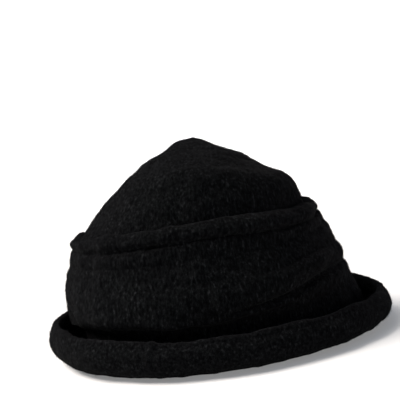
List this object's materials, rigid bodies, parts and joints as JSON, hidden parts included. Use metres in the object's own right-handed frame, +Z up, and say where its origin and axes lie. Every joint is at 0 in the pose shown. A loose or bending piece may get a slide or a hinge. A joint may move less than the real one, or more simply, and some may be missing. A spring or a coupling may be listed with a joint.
{
  "type": "wool hat",
  "caption": "Soft boiled-wool hat: blunt-peaked domed crown, side band with level folds, turned-up brim with a folded hem.",
  "frame": {"origin": "on the sole of the brim, under the middle of the hat", "axes": "+Z up to the peak of the crown, the wearer faces -Y, +X is the wearer's left"},
  "size_m": [0.2062, 0.241, 0.1423],
  "materials": {
    "crown": "charcoal boiled wool, matt, lightly flecked",
    "side_band": "charcoal boiled wool, matt, lightly flecked",
    "brim": "charcoal boiled wool, matt, lightly flecked"
  },
  "bodies": {
    "root": {"crown": "crown", "side_band": "side_band", "brim": "brim"}
  },
  "joints": []
}
